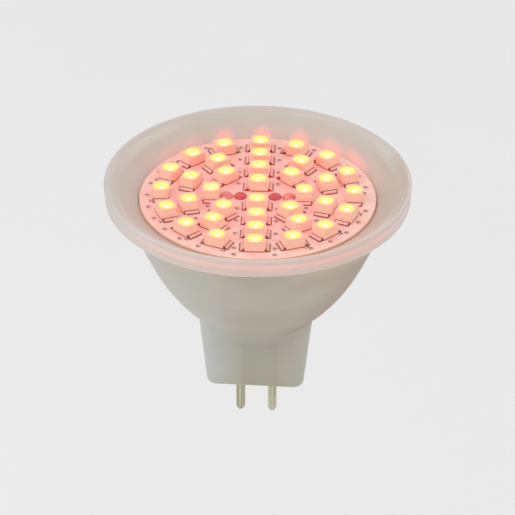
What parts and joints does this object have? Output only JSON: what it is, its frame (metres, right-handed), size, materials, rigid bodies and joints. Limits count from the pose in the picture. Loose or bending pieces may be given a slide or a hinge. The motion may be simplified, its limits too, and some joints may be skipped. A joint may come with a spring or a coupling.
{
  "type": "led spotlight bulb",
  "caption": "LED reflector lamp with a frosted cup, a recessed round board of surface-mount LEDs and a rectangular neck that carries the base pins.",
  "frame": {"origin": "midway between the two pins, on the flat end of the neck", "axes": "+Z from the neck out of the light face, +X along the row of the two pins"},
  "size_m": [0.05, 0.05, 0.0448],
  "materials": {
    "frosted_glass": "frosted, milky and translucent",
    "solder_mask_white": "white solder mask, matt",
    "clear_silicone": "clear silicone, satin",
    "led_package": "white moulded, satin",
    "led_resin": "clear resin, lit red",
    "solder": "bright solder",
    "red_insulation": "satin",
    "black_insulation": "satin",
    "nickel_pin": "nickel plated, satin",
    "cement": "matt",
    "driver_laminate": "green solder mask",
    "black_epoxy": "matt",
    "aluminium_can": "satin",
    "resistor_ceramic": "satin"
  },
  "bodies": {
    "root": {"cup_housing": "frosted_glass", "led_board": "solder_mask_white", "board_adhesive": "clear_silicone", "led_01": "led_package", "led_02": "led_package", "led_03": "led_package", "led_04": "led_package", "led_05": "led_package", "led_06": "led_package", "led_07": "led_package", "led_08": "led_package", "led_09": "led_package", "led_10": "led_package", "led_11": "led_package", "led_12": "led_package", "led_13": "led_package", "led_14": "led_package", "led_15": "led_package", "led_16": "led_package", "led_17": "led_package", "led_18": "led_package", "led_19": "led_package", "led_20": "led_package", "led_21": "led_package", "led_22": "led_package", "led_23": "led_package", "led_24": "led_package", "led_25": "led_package", "led_26": "led_package", "led_27": "led_package", "led_28": "led_package", "led_29": "led_package", "led_30": "led_package", "led_31": "led_package", "led_32": "led_package", "led_33": "led_package", "led_34": "led_package", "led_35": "led_package", "led_36": "led_package", "led_windows_ring_1": "led_resin", "led_windows_ring_2": "led_resin", "led_windows_ring_3": "led_resin", "led_windows_ring_4": "led_resin", "led_joints_ring_1": "solder", "led_joints_ring_2": "solder", "led_joints_ring_3": "solder", "led_joints_ring_4": "solder", "wire_joint_right": "solder", "wire_joint_left": "solder", "spare_joints": "solder", "lead_wire_right": "red_insulation", "lead_wire_left": "black_insulation", "base_pin_right": "nickel_pin", "base_pin_left": "nickel_pin", "pin_cement": "cement", "driver_board": "driver_laminate", "pin_solder": "solder", "bridge_rectifier": "black_epoxy", "smoothing_capacitor": "aluminium_can", "series_resistors": "resistor_ceramic"}
  },
  "joints": []
}
